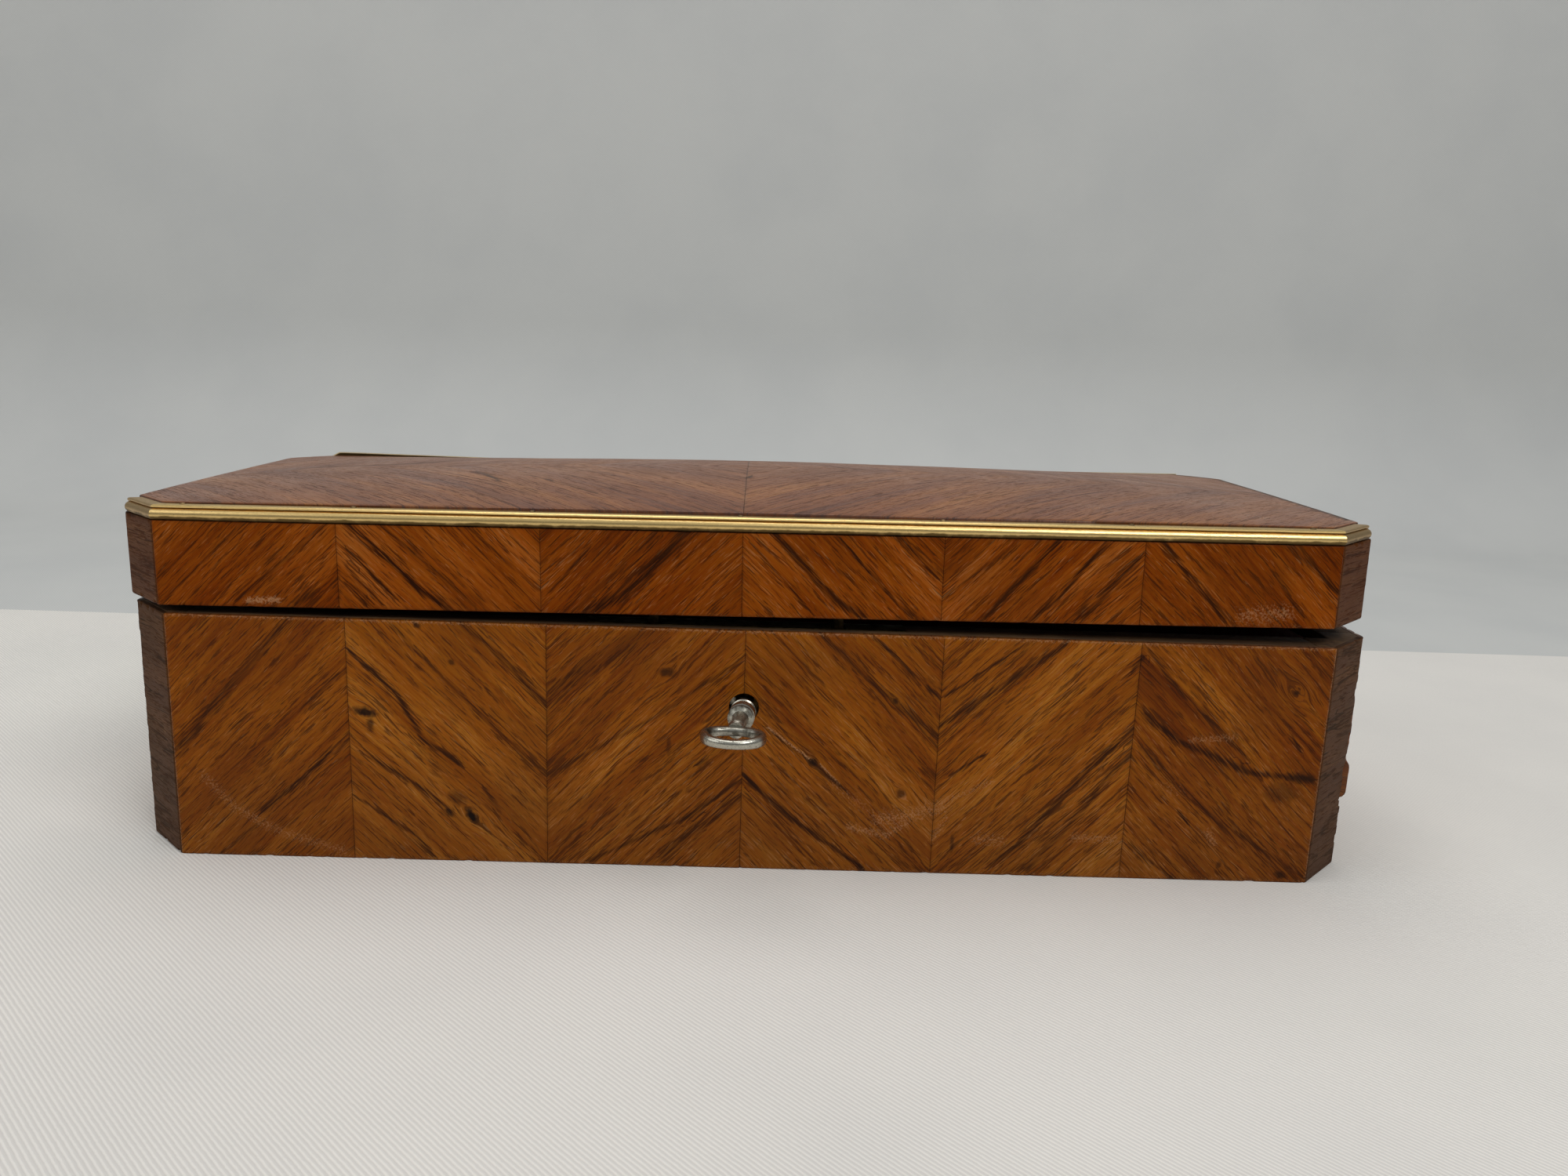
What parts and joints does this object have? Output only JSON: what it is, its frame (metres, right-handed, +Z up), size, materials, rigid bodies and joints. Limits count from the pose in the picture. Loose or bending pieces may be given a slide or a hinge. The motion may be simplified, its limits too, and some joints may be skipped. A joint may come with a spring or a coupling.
{
  "type": "antique glove box",
  "caption": "Long low hinged box with canted corners, quartered rosewood veneer, a gently domed lid edged in brass moulding, a coffret lock and its key.",
  "frame": {"origin": "centre of the underside, on the plane that it stands on", "axes": "+Z up, +X along the length to the right seen from the front, +Y to the back; the keyhole face looks to -Y"},
  "size_m": [0.302, 0.148, 0.0917],
  "materials": {
    "rosewood": "shellac varnished sawn rosewood veneer, crazed and worn",
    "oak": "bare oak, darkened",
    "brass": "old brass, dulled with brighter high spots",
    "lock_brass": "pale tarnished brass",
    "steel": "pitted nickelled steel",
    "iron": "blackened steel screws, pins and spring",
    "satin": "faded crimson satin"
  },
  "bodies": {
    "base": {"base_back_board": "oak", "base_back_lining": "satin", "base_back_veneer": "rosewood", "base_bottom_board": "oak", "base_corner_posts": "oak", "base_corner_veneers": "rosewood", "base_floor_pad": "satin", "base_front_board": "oak", "base_front_lining": "satin", "base_front_veneer": "rosewood", "base_left_board": "oak", "base_left_lining": "satin", "base_left_veneer": "rosewood", "base_right_board": "oak", "base_right_lining": "satin", "base_right_veneer": "rosewood", "left_hinge_lower_leaf": "brass", "left_hinge_pin": "iron", "lock_cap": "lock_brass", "lock_pin": "iron", "lock_plate": "lock_brass", "lock_spring": "iron", "right_hinge_lower_leaf": "brass", "right_hinge_pin": "iron"},
    "lid": {"left_hinge_upper_leaf": "brass", "lid_back_board": "oak", "lid_back_lining": "satin", "lid_back_veneer": "rosewood", "lid_corner_posts": "oak", "lid_corner_veneers": "rosewood", "lid_front_board": "oak", "lid_front_lining": "satin", "lid_front_veneer": "rosewood", "lid_left_board": "oak", "lid_left_lining": "satin", "lid_left_veneer": "rosewood", "lid_pad": "satin", "lid_right_board": "oak", "lid_right_lining": "satin", "lid_right_veneer": "rosewood", "lid_top_panel": "oak", "lid_top_veneer": "rosewood", "moulding_back": "brass", "moulding_back_right": "brass", "moulding_front": "brass", "moulding_front_left": "brass", "moulding_front_right": "brass", "right_hinge_upper_leaf": "brass", "striker_plate": "lock_brass"},
    "key": {"key": "steel"},
    "bolt": {"lock_bolt": "lock_brass"}
  },
  "joints": [
    {"name": "lid_hinge", "type": "hinge", "parent": "base", "child": "lid", "pos_m": [0, 0.0598, 0.061], "axis": [-1, 0, 0], "range_deg": [0, 98]},
    {"name": "key_turn", "type": "hinge", "parent": "base", "child": "key", "pos_m": [-0.0023, -0.055, 0.0411], "axis": [0, 1, 0], "range_deg": [0, 180]},
    {"name": "bolt_slide", "type": "slide", "parent": "base", "child": "bolt", "axis": [1, 0, 0], "range_m": [0, 0.005]}
  ],
  "couplings": [
    {"joint": "key_turn", "follows": "bolt_slide", "rad_per_m": 628.31}
  ]
}
